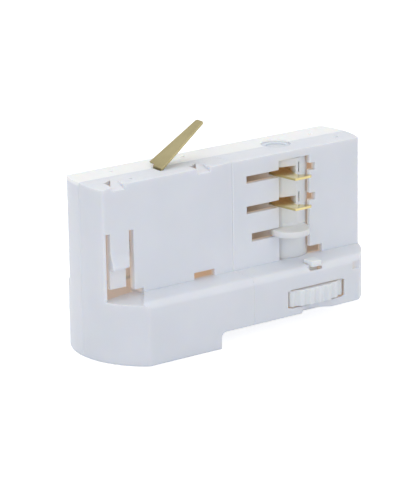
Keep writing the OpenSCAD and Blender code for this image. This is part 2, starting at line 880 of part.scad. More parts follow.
// Bent leaf under the tab: one end on the shelf, the other against the foot
module tab_spring() {
    x = rotor_x + tab_side;
    low = shelf_z;
    high = tab_foot_z - tab_foot_t - 0.05;
    t = leaf_thin;
    color(steel)
        along_y(-base_y + base_wall + tab_d * 0.17, -base_y + base_wall + tab_d * 0.55)
            polygon([[x - leaf_far, low], [x - leaf_bend, low], [x + tab_w * 0.13, high - t],
                     [x + tab_w * 0.47, high - t], [x + tab_w * 0.47, high], [x + tab_w * 0.1, high],
                     [x - leaf_bend - 0.1, low + t], [x - leaf_far, low + t]]);
}

// Springy brass leaf that touches the earthed track, bent up from a foot
module earth_spring() {
    tip_r = leaf_tip * 0.12;
    color(brass)
        translate([leaf_x, 0, slab_h + leaf_lift]) {
            rotate([0, -leaf_rise, 0])
                translate([0, 0, -leaf_t / 2])
                    linear_extrude(leaf_t)
                        polygon([[0, neck_front], [0.6, neck_front], [leaf_l - tip_r, -leaf_tip / 2],
                                 [leaf_l, -leaf_tip / 2 + tip_r], [leaf_l, leaf_tip / 2 - tip_r],
                                 [leaf_l - tip_r, leaf_tip / 2], [0.6, leaf_wide / 2],
                                 [0.6, neck_back + 0.6], [0.3, neck_back], [0, neck_back]]);
            translate([0, neck_back - 0.1, 0])
                rotate([90, 0, 0])
                    cylinder(d = leaf_t * 1.1, h = leaf_neck - 0.2);
            span([-leaf_t / 2, neck_front + 0.05, -leaf_foot], [leaf_t / 2, neck_back - 0.05, 0]);
        }
}

// Strap from the earth spring's slot down to the middle terminal
module earth_strap() {
    color(brass) {
        top = room_top - top_wall / 2;
        span([term_x - strap_half, -strap_t / 2, clamp_mid], [term_x + strap_half, strap_t / 2, top]);
        span([term_x - strap_half, neck_front + 0.3, top - strip_t],
             [term_x + strap_half, neck_back - 0.3, top]);
        // Tongue that stands under the earth spring's foot in the slot
        span([leaf_x - leaf_t / 2, neck_front + 0.3, top - strip_t],
             [leaf_x + leaf_t / 2, neck_back - 0.3, slab_h + leaf_lift - leaf_foot * 1.17]);
    }
}

function terminal_at(i) = term_x + (i - 2) * term_pitch;

// One clamp body, drawn about its own middle line
module clamp_solid() {
    span([-clamp_w / 2, -clamp_d / 2, clamp_low], [clamp_w / 2, clamp_d / 2, clamp_low + clamp_h]);
}

// Slots that take the ends of the strips, one per clamp
module clamp_slots() {
    g = fit_gap * 1.5;
    hi = strip_hi_z - strip_w / 2;
    span([terminal_at(0) - foot_half - g, -strip_y - strip_t / 2 - g, clamp_mid - g],
         [terminal_at(0) + foot_half + g, -strip_y + strip_t / 2 + g, hi]);
    span([terminal_at(1) - foot_half - g, strip_y - strip_t / 2 - g, clamp_mid - g],
         [terminal_at(1) + foot_half + g, strip_y + strip_t / 2 + g, hi]);
    span([terminal_at(2) - strap_half - g, -strap_t / 2 - g, clamp_mid - g],
         [terminal_at(2) + strap_half + g, strap_t / 2 + g, hi]);
    span([terminal_at(3) - strap_half - g, clamp_d / 2 - 0.8 - g, strip_lo_z - 1 - g],
         [terminal_at(3) + strap_half + g, strip_back_y + 1, strip_lo_z + 1 + g]);
    span([terminal_at(4) + strip_2_in - g, -strip_y - strip_t / 2 - g, strip_lo_z - strip_w / 2 - g],
         [terminal_at(4) + clamp_w, -strip_y + strip_t / 2 + g, strip_lo_z + strip_w / 2 + g]);
}

module terminal_clamps() {
    color(brass)
        difference() {
            for (i = [0 : 4])
                translate([terminal_at(i), 0, 0])
                    clamp_solid();
            for (i = [0 : 4])
                translate([terminal_at(i), wire_y, clamp_low - 1])
                    cylinder(r = wire_r, h = clamp_h / 2 + 0.5);
            for (i = [0 : 4])
                translate([terminal_at(i), wire_y, clamp_screw_z])
                    rotate([90, 0, 0])
                        cylinder(r = clamp_screw_r + fit_gap, h = clamp_d);
            clamp_slots();
        }
}

module terminal_screws() {
    color(steel)
        for (i = [0 : 4])
            translate([terminal_at(i), 0, clamp_screw_z])
                rotate([90, 0, 0])
                    difference() {
                        union() {
                            translate([0, 0, clamp_screw_r / 2])
                                cylinder(r = clamp_screw_r, h = clamp_screw_l);
                            translate([0, 0, clamp_d / 2 + fit_gap])
                                cylinder(r = clamp_head_r, h = clamp_screw_r * 0.8);
                        }
                        translate([-clamp_head_r, -clamp_head_r * 0.2, clamp_d / 2 + clamp_screw_r / 2])
                            cube([clamp_head_r * 2, clamp_head_r * 0.4, clamp_screw_r]);
                    }
}

// Insulating block around the clamps, open below for the wires
module terminal_block() {
    low = clamp_low - 1;
    high = clamp_low + clamp_h + 0.9;
    color(white)
        difference() {
            span([terminal_at(0) - 3.1, -clamp_d / 2 - 0.7, low],
                 [terminal_at(4) + 3.1, room_y - 0.1, high]);
            for (i = [0 : 4])
                translate([terminal_at(i), 0, 0]) {
                    span([-clamp_w / 2 - fit_gap, -clamp_d / 2 - fit_gap, clamp_low - fit_gap],
                         [clamp_w / 2 + fit_gap, clamp_d / 2 + fit_gap, high + 1]);
                    translate([0, wire_y, low - 1])
                        cylinder(r = wire_r + 0.3, h = 3);
                    translate([0, -clamp_d / 2 + 1, clamp_screw_z])
                        rotate([90, 0, 0])
                            cylinder(r = clamp_head_r + 0.3, h = 3);
                }
            // Channel behind the clamps for the lower rear strip
            span([terminal_at(3) - 1.5, strip_back_y - strip_t / 2 - 0.15, strip_lo_z - strip_w / 2 - 0.15],
                 [cover_x, strip_back_y + strip_t / 2 + 0.15, strip_lo_z + strip_w / 2 + 0.15]);
            span([terminal_at(3) - strap_half - 0.15, clamp_d / 2 - 0.5, strip_lo_z - 1.15],
                 [terminal_at(3) + strap_half + 0.15, strip_back_y, strip_lo_z + 1.15]);
            // Mouth at the end for the lower front strip
            span([terminal_at(4), -strip_y - strip_t / 2 - 0.15, strip_lo_z - strip_w / 2 - 0.15],
                 [cover_x, -strip_y + strip_t / 2 + 0.15, strip_lo_z + strip_w / 2 + 0.15]);
        }
}

// End of a strip beside the drum, at the strip's distance y from the middle
function strip_end(y) = rotor_x - sqrt(pow(drum_r + strip_gap, 2) - pow(y - strip_t / 2, 2));

// Upper strip: over the terminal block and down into clamp i
module upper_strip(y, i) {
    x = terminal_at(i);
    z0 = strip_hi_z - strip_w / 2;
    color(brass) {
        span([x - foot_half, y - strip_t / 2, z0], [strip_end(abs(y)), y + strip_t / 2, z0 + strip_w]);
        span([x - foot_half, y - strip_t / 2, clamp_mid], [x + foot_half, y + strip_t / 2, z0 + 1]);
    }
}

module line_strip_1() {
    upper_strip(-strip_y, 0);
}

module neutral_strip() {
    upper_strip(strip_y, 1);
}

module line_strip_2() {
    color(brass)
        span([terminal_at(4) + strip_2_in, -strip_y - strip_t / 2, strip_lo_z - strip_w / 2],
             [strip_end(strip_y), -strip_y + strip_t / 2, strip_lo_z + strip_w / 2]);
}

module line_strip_3() {
    color(brass) {
        span([terminal_at(3) - strap_half, strip_back_y - strip_t / 2, strip_lo_z - strip_w / 2],
             [strip_end(strip_back_y), strip_back_y + strip_t / 2, strip_lo_z + strip_w / 2]);
        span([terminal_at(3) - strap_half, clamp_d / 2 - 0.8, strip_lo_z - 1],
             [terminal_at(3) + strap_half, strip_back_y, strip_lo_z + 1]);
    }
}

// Hexagon nut that the lamp's stem screws into
module stem_nut() {
    color(brass)
        translate([stem_x, 0, deep_floor + 0.05])
            difference() {
                cylinder(d = nut_af / cos(30), h = nut_h, $fn = 6);
                translate([0, 0, -1])
                    cylinder(r = stem_bore_r, h = nut_h + 2);
            }
}

// Screws that hold the rotor housing together, driven from the back
module housing_screws() {
    color(steel)
        for (p = screw_at)
            translate([p[0], slab_y - 0.25, p[1]])
                rotate([90, 0, 0])
                    difference() {
                        union() {
                            cylinder(r = screw_head_r, h = 1.2);
                            cylinder(r = screw_r, h = slab_y + 4.2);
                        }
                        for (turn = [0, 90])
                            rotate(turn)
                                translate([-1.1, -0.25, -1])
                                    cube([2.2, 0.5, 1.7]);
                    }
}

rear_housing();
front_housing();
wiring_cover();
rotor_drum();
blade_front_upper();
blade_front_lower();
blade_rear_upper();
blade_rear_lower();
thumb_wheel();
interlock_tab();
tab_spring();
earth_spring();
earth_strap();
terminal_block();
terminal_clamps();
terminal_screws();
line_strip_1();
line_strip_2();
line_strip_3();
neutral_strip();
stem_nut();
housing_screws();
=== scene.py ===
# %% [markdown]
# # A track light adapter, dressed for its picture
# The solids come in as a finished frame: a rear and a front housing, a wiring
# cover, a rotor with brass blades, a ribbed wheel, a small tab and a brass
# spring. What is left to do here is what the eye reads as real: softened
# mould edges, satin plastic with a grain, dull stamped brass, and soft light.
# The frame is loaded first, and its box is kept.

# %% Load the frame
import math

import bpy
from mathutils import Matrix, Vector


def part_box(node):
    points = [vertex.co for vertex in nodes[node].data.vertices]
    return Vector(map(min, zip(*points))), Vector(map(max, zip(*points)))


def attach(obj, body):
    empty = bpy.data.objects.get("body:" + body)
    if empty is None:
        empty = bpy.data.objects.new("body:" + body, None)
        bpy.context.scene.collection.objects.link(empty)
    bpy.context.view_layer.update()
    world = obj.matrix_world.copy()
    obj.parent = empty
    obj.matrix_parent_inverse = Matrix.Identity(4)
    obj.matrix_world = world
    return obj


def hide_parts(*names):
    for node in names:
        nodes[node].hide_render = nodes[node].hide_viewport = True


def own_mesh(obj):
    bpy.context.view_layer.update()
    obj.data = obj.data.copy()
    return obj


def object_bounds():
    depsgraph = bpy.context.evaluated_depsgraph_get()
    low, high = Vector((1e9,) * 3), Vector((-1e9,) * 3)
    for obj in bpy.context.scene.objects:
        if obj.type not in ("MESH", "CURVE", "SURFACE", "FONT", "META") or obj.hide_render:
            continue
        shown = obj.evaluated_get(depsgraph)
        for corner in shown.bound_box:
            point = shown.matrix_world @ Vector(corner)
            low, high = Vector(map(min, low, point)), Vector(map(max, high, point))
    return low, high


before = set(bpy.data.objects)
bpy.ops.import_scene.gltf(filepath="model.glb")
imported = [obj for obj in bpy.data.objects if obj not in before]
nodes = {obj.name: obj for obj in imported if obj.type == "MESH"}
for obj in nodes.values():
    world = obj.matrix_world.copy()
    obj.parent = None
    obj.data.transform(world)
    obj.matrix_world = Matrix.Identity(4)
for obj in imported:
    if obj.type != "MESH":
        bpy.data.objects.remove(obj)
cad_low, cad_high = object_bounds()
MM = 0.001


def sides_in_mm(low, high):
    """The three sides of a box, rounded for printing."""
    return [round((end - start) / MM, 1) for start, end in zip(low, high)]


print("nodes:", len(nodes), "box in mm:", sides_in_mm(cad_low, cad_high))

# %% [markdown]
# The camera stands to the left of straight ahead and a little above, with a
# long lens, so that parallel edges hardly converge. A camera can be aimed by
# hand or with a constraint; here its three axes are built from two angles and
# a small roll, because then each number is one that can be measured.

# %% Camera
PHOTO_HEIGHT = 489
FOCAL_PIXELS = 2666
SENSOR_MM = 24.0
VIEW_TURN = math.radians(35.47)
VIEW_RISE = math.radians(16.53)
VIEW_ROLL = math.radians(-0.9)
STAND_OFF = 670.7 * MM
AIM_SIDE = -2.34 * MM
AIM_UP = 4.76 * MM

back = Vector((
    -math.sin(VIEW_TURN) * math.cos(VIEW_RISE),
    -math.cos(VIEW_TURN) * math.cos(VIEW_RISE),
    math.sin(VIEW_RISE),
))
level = Vector((math.cos(VIEW_TURN), -math.sin(VIEW_TURN), 0))
upright = back.cross(level)
right = level * math.cos(VIEW_ROLL) + upright * math.sin(VIEW_ROLL)
up = upright * math.cos(VIEW_ROLL) - level * math.sin(VIEW_ROLL)
lens = bpy.data.cameras.new("picture_camera")
lens.sensor_fit = "VERTICAL"
lens.sensor_height = SENSOR_MM
lens.lens = FOCAL_PIXELS * SENSOR_MM / PHOTO_HEIGHT
camera = bpy.data.objects.new("picture_camera", lens)
bpy.context.scene.collection.objects.link(camera)
camera.matrix_world = Matrix((right, up, back)).transposed().to_4x4()
camera.matrix_world.translation = back * STAND_OFF + right * AIM_SIDE + up * AIM_UP
bpy.context.scene.camera = camera
print("lens:", round(lens.lens, 1), "mm")

# %% [markdown]
# The part is white on white, lit from all round. A picture of a room could
# give such light; one even white world is chosen instead, because then the
# metal mirrors nothing that is not there. It lights the part at a plain level
# and shows pure white to the camera, to reflections and through glass.

# %% White room
bpy.context.scene.view_settings.view_transform = "Standard"
WHITE = (1, 1, 1)
WORLD_LEVEL = 0.62
SEEN_LEVEL = 1.0


def blank_tree(owner):
    """The emptied node tree of a world or a material."""
    owner.use_nodes = True
    owner.node_tree.nodes.clear()
    return owner.node_tree


def link(tree, source, target):
    """Joins an output socket to an input socket."""
    tree.links.new(source, target)


def socket_math(tree, operation, *values):
    """A math node on sockets or numbers, returned as its output socket."""
    node = tree.nodes.new("ShaderNodeMath")
    node.operation = operation
    for slot, value in zip(node.inputs, values):
        if isinstance(value, (int, float)):
            slot.default_value = value
        else:
            link(tree, value, slot)
    return node.outputs[0]


def seen_directly(tree):
    """A socket that is 1 for rays from the camera, off gloss and through glass."""
    path = tree.nodes.new("ShaderNodeLightPath").outputs
    seen = socket_math(tree, "MAXIMUM", path["Is Camera Ray"], path["Is Glossy Ray"])
    return socket_math(tree, "MAXIMUM", seen, path["Is Transmission Ray"])


def white_world(tree, strength):
    """An even white all round, returned as its output socket."""
    node = tree.nodes.new("ShaderNodeBackground")
    node.inputs["Color"].default_value = (*WHITE, 1)
    node.inputs["Strength"].default_value = strength
    return node.outputs[0]


world = bpy.data.worlds.new("white_room")
bpy.context.scene.world = world
tree = blank_tree(world)
either = tree.nodes.new("ShaderNodeMixShader")
link(tree, seen_directly(tree), either.inputs[0])
link(tree, white_world(tree, WORLD_LEVEL), either.inputs[1])
link(tree, white_world(tree, SEEN_LEVEL), either.inputs[2])
out = tree.nodes.new("ShaderNodeOutputWorld")
link(tree, either.outputs[0], out.inputs["Surface"])
print("world lights the part at", WORLD_LEVEL, "and is seen at", SEEN_LEVEL)

# %% [markdown]
# Even light alone leaves a white part flat. Lamps above, to the left and in
# front set its top, its end and its front a little apart. Small lamps or a
# sun would draw hard shadows, so all three are large soft panels.

# %% Lamps
LAMP_WATTS = 1.6
LAMPS = (  # name, place and side of the panel, both in metres
    ("sky_panel", (-0.15, 0.15, 0.75), 0.7),
    ("left_panel", (-0.75, -0.35, 0.3), 0.5),
    ("front_panel", (0.35, -0.8, 0.3), 0.6),
)
for name, place, side in LAMPS:
    panel = bpy.data.lights.new(name, "AREA")
    panel.size = side
    panel.energy = LAMP_WATTS
    lamp = bpy.data.objects.new(name, panel)
    lamp.location = place
    to_part = -Vector(place)
    lamp.rotation_euler = to_part.to_track_quat("-Z", "Y").to_euler()
    bpy.context.scene.collection.objects.link(lamp)

# %% [markdown]
# A pale floor closes the scene below: one large sheet, a hair under the part.
# Painted white, it would need so much light to look white that the part would
# burn out. So it has a white of its own, as a light table has, and the light
# that falls on it is added. A faint shadow of the part is left that way.

# %% Floor
FLOOR_HALF = 1.5
FLOOR_GAP = 0.2 * MM
FLOOR_TONE = (0.53, 0.54, 0.57)
FLOOR_GLOW = 0.81
floor_z = cad_low.z - FLOOR_GAP
corners = [(x * FLOOR_HALF, y * FLOOR_HALF, floor_z)
           for x, y in ((-1, -1), (1, -1), (1, 1), (-1, 1))]
mesh = bpy.data.meshes.new("floor")
mesh.from_pydata(corners, [], [(0, 1, 2, 3)])
floor = bpy.data.objects.new("floor", mesh)
bpy.context.scene.collection.objects.link(floor)
light_table = bpy.data.materials.new("light_table")
tree = blank_tree(light_table)
matt = tree.nodes.new("ShaderNodeBsdfDiffuse")
matt.inputs["Color"].default_value = (*FLOOR_TONE, 1)
own_white = tree.nodes.new("ShaderNodeEmission")
link(tree, seen_directly(tree), own_white.inputs["Strength"])
blend = tree.nodes.new("ShaderNodeMixShader")
blend.inputs[0].default_value = FLOOR_GLOW
link(tree, matt.outputs[0], blend.inputs[1])
link(tree, own_white.outputs[0], blend.inputs[2])
both = tree.nodes.new("ShaderNodeAddShader")
link(tree, blend.outputs[0], both.inputs[0])
link(tree, matt.outputs[0], both.inputs[1])
out = tree.nodes.new("ShaderNodeOutputMaterial")
link(tree, both.outputs[0], out.inputs["Surface"])
floor.data.materials.append(light_table)
print("floor at", round(floor_z / MM, 1), "mm")

# %% [markdown]
# The shells are thin white plastic, and the light that gets through a wall is warm, so
# their inside looks tan. That could be left to many bounces of light; here it is painted:
# the tone itself turns to a tan painted shade with depth below the outer faces, and a
# faint painted glow is added there, which is quick and free of noise. A few math nodes
# read that depth from the coordinates of the frame. Each fade says, in metres past a face,
# where the turn to the inner painted shade starts and where it is complete.

# %% Inside of the shells
SLAB_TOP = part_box("rear_housing")[1].z
SLAB_HALF = 7.9 * MM
BASE_HALF = 16.55 * MM
BASE_DEPTH = 11.85 * MM
END_HALF = 40.7 * MM
END_RADIUS = 20.3 * MM
FACE_FADE = (0.1 * MM, 2.2 * MM)
TOP_FADE = (0.5 * MM, 1.8 * MM)
FOOT_FADE = (-0.75 * MM, -0.05 * MM)
WALL_FADE = (0.2 * MM, 1.4 * MM)
LEDGE_FADE = (0.6 * MM, 1.6 * MM)
BOTTOM_FADE = (1.0 * MM, 1.8 * MM)
END_FADE = (0.2 * MM, 2.2 * MM)


def ramp(tree, value, span):
    """0 below the span, 1 above it, smooth between."""
    node = tree.nodes.new("ShaderNodeMapRange")
    node.interpolation_type = "SMOOTHSTEP"
    link(tree, value, node.inputs["Value"])
    node.inputs["From Min"].default_value = span[0]
    node.inputs["From Max"].default_value = span[1]
    return node.outputs["Result"]


def axes(tree, coords):
    """The three coordinates as sockets."""
    node = tree.nodes.new("ShaderNodeSeparateXYZ")
    link(tree, coords, node.inputs[0])
    return tuple(node.outputs)


def times(tree, first, *others):
    """The product of several sockets."""
    for other in others:
        first = socket_math(tree, "MULTIPLY", first, other)
    return first


def length(tree, a, b):
    """The length of a step that is made of two steps at right angles."""
    squares = socket_math(tree, "ADD", times(tree, a, a), times(tree, b, b))
    return socket_math(tree, "SQRT", squares)


def inside_shell(tree, coords):
    """0 on the outer faces of a housing, 1 inside the slab or inside the base."""
    x, y, z = axes(tree, coords)
    side = socket_math(tree, "ABSOLUTE", y)
    under_face = socket_math(tree, "SUBTRACT", SLAB_HALF, side)
    under_top = socket_math(tree, "SUBTRACT", SLAB_TOP, z)
    in_slab = times(tree, ramp(tree, under_face, FACE_FADE),
                    ramp(tree, under_top, TOP_FADE), ramp(tree, z, FOOT_FADE))
    under_wall = socket_math(tree, "SUBTRACT", BASE_HALF, side)
    under_ledge = socket_math(tree, "MULTIPLY", z, -1.0)
    over_bottom = socket_math(tree, "ADD", z, BASE_DEPTH)
    in_base = times(tree, ramp(tree, under_wall, WALL_FADE),
                    ramp(tree, under_ledge, LEDGE_FADE),
                    ramp(tree, over_bottom, BOTTOM_FADE))
    along = socket_math(tree, "ABSOLUTE", x)
    past_straight = socket_math(tree, "SUBTRACT", along, END_HALF - END_RADIUS)
    past_straight = socket_math(tree, "MAXIMUM", past_straight, 0.0)
    to_centre = length(tree, past_straight, y)
    under_end = socket_math(tree, "SUBTRACT", END_RADIUS, to_centre)
    return times(tree, socket_math(tree, "MAXIMUM", in_slab, in_base),
                 ramp(tree, under_end, END_FADE))


print("top of the slab at", round(SLAB_TOP / MM, 1), "mm")

# %% [markdown]
# The rotor turns, and its coordinates turn with it. Depth below the slab's faces would
# paint its white sides tan after a quarter turn, so its inside is measured from its own
# axis: only the pockets and slits of the drum get the tan painted shade and its faint
# painted glow.

# %% Inside of the rotor
ROTOR_X = 18.7 * MM
DRUM_RADIUS = 7.8 * MM
DRUM_FADE = (0.6 * MM, 2.4 * MM)
DRUM_FOOT_FADE = (0.0, 1.0 * MM)


def inside_rotor(tree, coords):
    """0 on the drum's round face, 1 in its pockets, whichever way it is turned."""
    x, y, z = axes(tree, coords)
    off_axis = length(tree, socket_math(tree, "SUBTRACT", x, ROTOR_X), y)
    under_face = socket_math(tree, "SUBTRACT", DRUM_RADIUS, off_axis)
    under_top = socket_math(tree, "SUBTRACT", SLAB_TOP, z)
    return times(tree, ramp(tree, under_face, DRUM_FADE),
                 ramp(tree, under_top, TOP_FADE), ramp(tree, z, DRUM_FOOT_FADE))


print("axis of the rotor at", round(ROTOR_X / MM, 1), "mm")

# %% [markdown]
# The three mouldings meet in narrow open seams. In the solids such a gap ends up as a
# black line, while in thin white plastic some light seeps through its lips. More bounces
# would help only a little, so the seams get a faint painted light of their own, by the
# same kind of nodes that measure depth.

# %% Open seams
COVER_X = (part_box("wiring_cover")[1].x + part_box("front_housing")[0].x) / 2
SEAM_FADE = (0.06 * MM, 0.2 * MM)


def one_minus(tree, value):
    """Turns 0 to 1 round."""
    return socket_math(tree, "SUBTRACT", 1.0, value)


def seams(tree, coords):
    """1 in the open seams between the three mouldings, 0 away from them."""
    x, y, _ = axes(tree, coords)
    off_split = socket_math(tree, "ABSOLUTE", y)
    off_cover = socket_math(tree, "SUBTRACT", x, COVER_X)
    off_cover = socket_math(tree, "ABSOLUTE", off_cover)
    in_front = socket_math(tree, "MAXIMUM", off_cover, y)
    nearest = socket_math(tree, "MINIMUM", off_split, in_front)
    return one_minus(tree, ramp(tree, nearest, SEAM_FADE))


print("seam beside the cover at", round(COVER_X / MM, 2), "mm")

# %% [markdown]
# The mould was etched, so the plastic has a fine satin grain and a gloss that
# is not quite even. A scanned grain would need every face laid out flat.
# Noise over the coordinates of the part needs no layout and has the same size
# on every piece. Scales are in waves per metre.

# %% Grain and gloss
NOISE_DETAIL = 2.0
FINE_DETAIL = 3.0
GLOSS_SCALE = 900.0
GLOSS_SPREAD = (0.2, 0.8)
GLOSS_SWING = (-0.05, 0.07)
GRAIN_SCALE = 4200.0
GRAIN_STRENGTH = 0.18
GRAIN_DEPTH = 0.03 * MM


def noise(tree, coords, scale, detail=NOISE_DETAIL):
    """A noise texture over coordinates in metres."""
    node = tree.nodes.new("ShaderNodeTexNoise")
    node.inputs["Scale"].default_value = scale
    node.inputs["Detail"].default_value = detail
    link(tree, coords, node.inputs["Vector"])
    return node.outputs["Fac"]


def uneven_gloss(tree, shader, value, rough, swing):
    """Lets the roughness of a shader swing about a middle as a value does."""
    node = tree.nodes.new("ShaderNodeMapRange")
    link(tree, value, node.inputs["Value"])
    node.inputs["To Min"].default_value = rough + swing[0]
    node.inputs["To Max"].default_value = rough + swing[1]
    link(tree, node.outputs["Result"], shader.inputs["Roughness"])


def grain(tree, shader, height, strength, depth):
    """Puts a height as bump on a shader."""
    bump = tree.nodes.new("ShaderNodeBump")
    bump.inputs["Strength"].default_value = strength
    bump.inputs["Distance"].default_value = depth
    link(tree, height, bump.inputs["Height"])
    link(tree, bump.outputs["Normal"], shader.inputs["Normal"])


def satin(tree, shader, coords, rough):
    """The grain and the patchy gloss of moulded plastic."""
    patches = ramp(tree, noise(tree, coords, GLOSS_SCALE), GLOSS_SPREAD)
    uneven_gloss(tree, shader, patches, rough, GLOSS_SWING)
    fine = noise(tree, coords, GRAIN_SCALE, FINE_DETAIL)
    grain(tree, shader, fine, GRAIN_STRENGTH, GRAIN_DEPTH)


print("grain of about", round(1 / GRAIN_SCALE / MM, 2), "mm")

# %% [markdown]
# A flat white would look like paper, so the tone drifts slowly over each moulding. Light
# also goes a little way into such plastic, which softens corners, so the shader scatters
# it below the surface. On top of that come the tan painted shade inside with its faint
# painted glow, the painted light in the seams, and a tone painted on top: paler on the
# rear shell, a painted highlight, and greyer on the drum, a painted shade.

# %% White plastic
DRIFT_SCALE = 60.0
DRIFT_SPREAD = (0.3, 0.7)
PAINTED_TOP_BAND = (SLAB_TOP - 1.2 * MM, SLAB_TOP - 0.5 * MM)
ENDS_MEET = (-20 * MM, -10 * MM)
SCATTER_SHARE = 0.7
SCATTER_COLOURS = (1.0, 0.8, 0.6)
SCATTER_DEPTH = 1.5 * MM
SHINE = 0.4


def new_material(name):
    """An empty node material with its shader and the part's coordinates."""
    material = bpy.data.materials.new(name)
    tree = blank_tree(material)
    shader = tree.nodes.new("ShaderNodeBsdfPrincipled")
    out = tree.nodes.new("ShaderNodeOutputMaterial")
    link(tree, shader.outputs[0], out.inputs["Surface"])
    coords = tree.nodes.new("ShaderNodeTexCoord").outputs["Object"]
    return material, tree, shader, coords


def two_tone(tree, factor, first, second):
    """A colour that goes from first to second as factor goes from 0 to 1."""
    node = tree.nodes.new("ShaderNodeMix")
    node.data_type = "RGBA"
    link(tree, factor, node.inputs["Factor"])
    colours = [slot for slot in node.inputs if slot.type == "RGBA"]
    for slot, colour in zip(colours, (first, second)):
        if isinstance(colour, tuple):
            slot.default_value = (*colour, 1)
        else:
            link(tree, colour, slot)
    return [slot for slot in node.outputs if slot.type == "RGBA"][0]


def plastic(name, light, dark, inside, painted_shade, painted_glow, rough, top=None, seam_light=0.0):
    """Satin moulded plastic. inside says where it is inner; the two pairs after it are the
    tan painted shade there and its faint painted glow, each at the wiring end and at the
    rotor end. top is a tone painted on the top of the slab, a painted highlight or a
    painted shade, and seam_light is the painted light in the open seams."""
    material, tree, shader, coords = new_material(name)
    x, _, z = axes(tree, coords)
    drift = ramp(tree, noise(tree, coords, DRIFT_SCALE), DRIFT_SPREAD)
    tone = two_tone(tree, drift, dark, light)
    # A tone painted on the top: a painted highlight or a painted shade.
    if top:
        tone = two_tone(tree, ramp(tree, z, PAINTED_TOP_BAND), tone, top)
    # Painted shade: with depth inside, the tone turns tan, and a faint painted glow and
    # the painted light of the seams are emitted.
    depth = inside(tree, coords)
    to_rotor = ramp(tree, x, ENDS_MEET)
    tone = two_tone(tree, depth, tone, two_tone(tree, to_rotor, *painted_shade))
    link(tree, tone, shader.inputs["Base Color"])
    gap = times(tree, seams(tree, coords), one_minus(tree, depth))
    painted_light_tone = two_tone(tree, gap, two_tone(tree, to_rotor, *painted_glow), WHITE)
    link(tree, painted_light_tone, shader.inputs["Emission Color"])
    strength = socket_math(tree, "MAXIMUM", depth, times(tree, gap, seam_light))
    link(tree, strength, shader.inputs["Emission Strength"])
    shader.inputs["Subsurface Weight"].default_value = SCATTER_SHARE
    shader.inputs["Subsurface Radius"].default_value = SCATTER_COLOURS
    shader.inputs["Subsurface Scale"].default_value = SCATTER_DEPTH
    shader.inputs["Specular IOR Level"].default_value = SHINE
    satin(tree, shader, coords, rough)
    return material


print("tone drifts over about", round(1 / DRIFT_SCALE / MM), "mm")

# %% [markdown]
# One recipe gives five plastics. The shells are a cool white; the rear one is a shade
# paler, and its top is painted paler still, a painted highlight, so that it is the
# brightest face of the part. The drum's white is greyer, a painted shade, and its top is
# painted greyer still; the wheel and the tab are painted paler, as painted light, because
# they stand in the light. The terminal block is hidden inside and duller. One white for
# all would be simpler, but it would hide where one moulding ends and the next begins.

# %% Five whites
SHELL_ROUGH = 0.42
ROTOR_ROUGH = 0.38
BLOCK_ROUGH = 0.5
SEAM_LIGHT = 0.07
# The tan inside is a painted shade and the glow a painted light, at the wiring end and at
# the rotor end.
SHELL_PAINTED_SHADE = ((0.67, 0.62, 0.58), (0.66, 0.55, 0.45))
SHELL_PAINTED_GLOW = ((0.225, 0.195, 0.175), (0.20, 0.15, 0.108))
ROTOR_PAINTED_SHADE = ((0.60, 0.45, 0.33),) * 2
ROTOR_PAINTED_GLOW = ((0.08, 0.052, 0.032),) * 2
white_shell = plastic(
    "white_moulding", light=(0.75, 0.777, 0.832), dark=(0.722, 0.75, 0.806),
    inside=inside_shell, painted_shade=SHELL_PAINTED_SHADE, painted_glow=SHELL_PAINTED_GLOW, rough=SHELL_ROUGH,
    seam_light=SEAM_LIGHT)
# The rear shell is a shade paler, and its top gets a painted highlight.
rear_shell = plastic(
    "rear_moulding", light=(0.765, 0.79, 0.842), dark=(0.737, 0.764, 0.817),
    inside=inside_shell, painted_shade=SHELL_PAINTED_SHADE, painted_glow=SHELL_PAINTED_GLOW, rough=SHELL_ROUGH,
    top=(0.90, 0.92, 0.93), seam_light=SEAM_LIGHT)
# The drum is painted greyer as painted shade, and its top greyer still.
rotor_white = plastic(
    "rotor_moulding", light=(0.74, 0.757, 0.782), dark=(0.706, 0.724, 0.748),
    inside=inside_rotor, painted_shade=ROTOR_PAINTED_SHADE, painted_glow=ROTOR_PAINTED_GLOW, rough=ROTOR_ROUGH,
    top=(0.66, 0.71, 0.775))
# The wheel and the tab are painted paler, as painted light.
wheel_white = plastic(
    "wheel_moulding", light=(0.80, 0.83, 0.862), dark=(0.766, 0.796, 0.827),
    inside=inside_rotor, painted_shade=ROTOR_PAINTED_SHADE, painted_glow=ROTOR_PAINTED_GLOW, rough=ROTOR_ROUGH)
inner_white = plastic(
    "block_moulding", light=(0.66, 0.66, 0.64), dark=(0.62, 0.62, 0.60),
    inside=inside_shell, painted_shade=SHELL_PAINTED_SHADE, painted_glow=ROTOR_PAINTED_GLOW, rough=BLOCK_ROUGH)
whites = (white_shell, rear_shell, rotor_white, wheel_white, inner_white)
print("plastics:", [material.name for material in whites])

# %% [markdown]
# The blades and the earth spring are stamped from thin brass. The spring has gone dull and
# the blades are rubbed bright by the track. Stamping leaves fine lines along the strip and
# an edge of another gloss: fresh on the spring, where the edge is also painted brighter as
# a painted highlight, and worn on the blades. The lines could be drawn one by one; noise
# that is stretched along the part gives them all at once.

# %% Brass and zinc
PATCH_SCALE = 120.0
PATCH_SPREAD = (0.32, 0.68)
LINE_SCALE = 1500.0
LINE_STRENGTH = 0.15
LINE_DEPTH = 0.02 * MM
METAL_SWING = (-0.08, 0.12)
EVEN = (1, 1, 1)
ALONG_X = (0.15, 1, 1)
ALONG_Y = (1, 0.15, 1)
ALONG_Z = (1, 1, 0.1)


